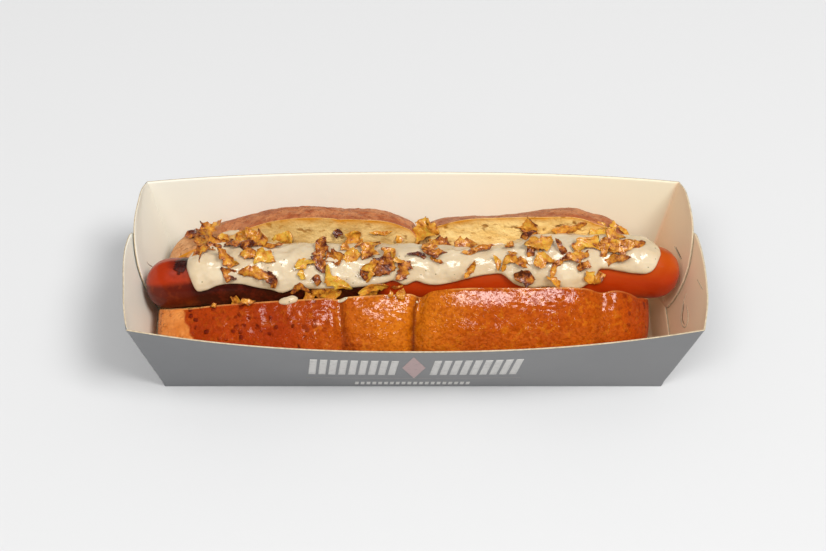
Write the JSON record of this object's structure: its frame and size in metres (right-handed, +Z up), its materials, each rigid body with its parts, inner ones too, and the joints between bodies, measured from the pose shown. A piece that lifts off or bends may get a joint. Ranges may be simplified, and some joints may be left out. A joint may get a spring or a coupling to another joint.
{
  "type": "hot dog",
  "caption": "Hot dog in a folded paperboard tray: long sausage in a split glazed bun, topped with white sauce and crisp fried onion.",
  "frame": {"origin": "middle of the tray's underside, on the surface it stands on", "axes": "+X along the sausage, towards the end where it is brightest; -Y towards the eater, the side with the printed front wall; +Z up"},
  "size_m": [0.2628, 0.1122, 0.0603],
  "materials": {
    "paperboard": "printed grey outside, cream board inside, semi-matt",
    "bread": "glazed brown crust, pale porous crumb on the cut",
    "sausage_skin": "glossy orange-red skin, browned dark along the front",
    "sauce": "thick creamy sauce with fine herb specks",
    "fried_onion": "crisp golden to brown fried onion flakes with an oily sheen"
  },
  "bodies": {
    "root": {"tray": "paperboard", "bun": "bread", "sausage": "sausage_skin", "sauce_with_onion": "sauce"}
  },
  "joints": []
}
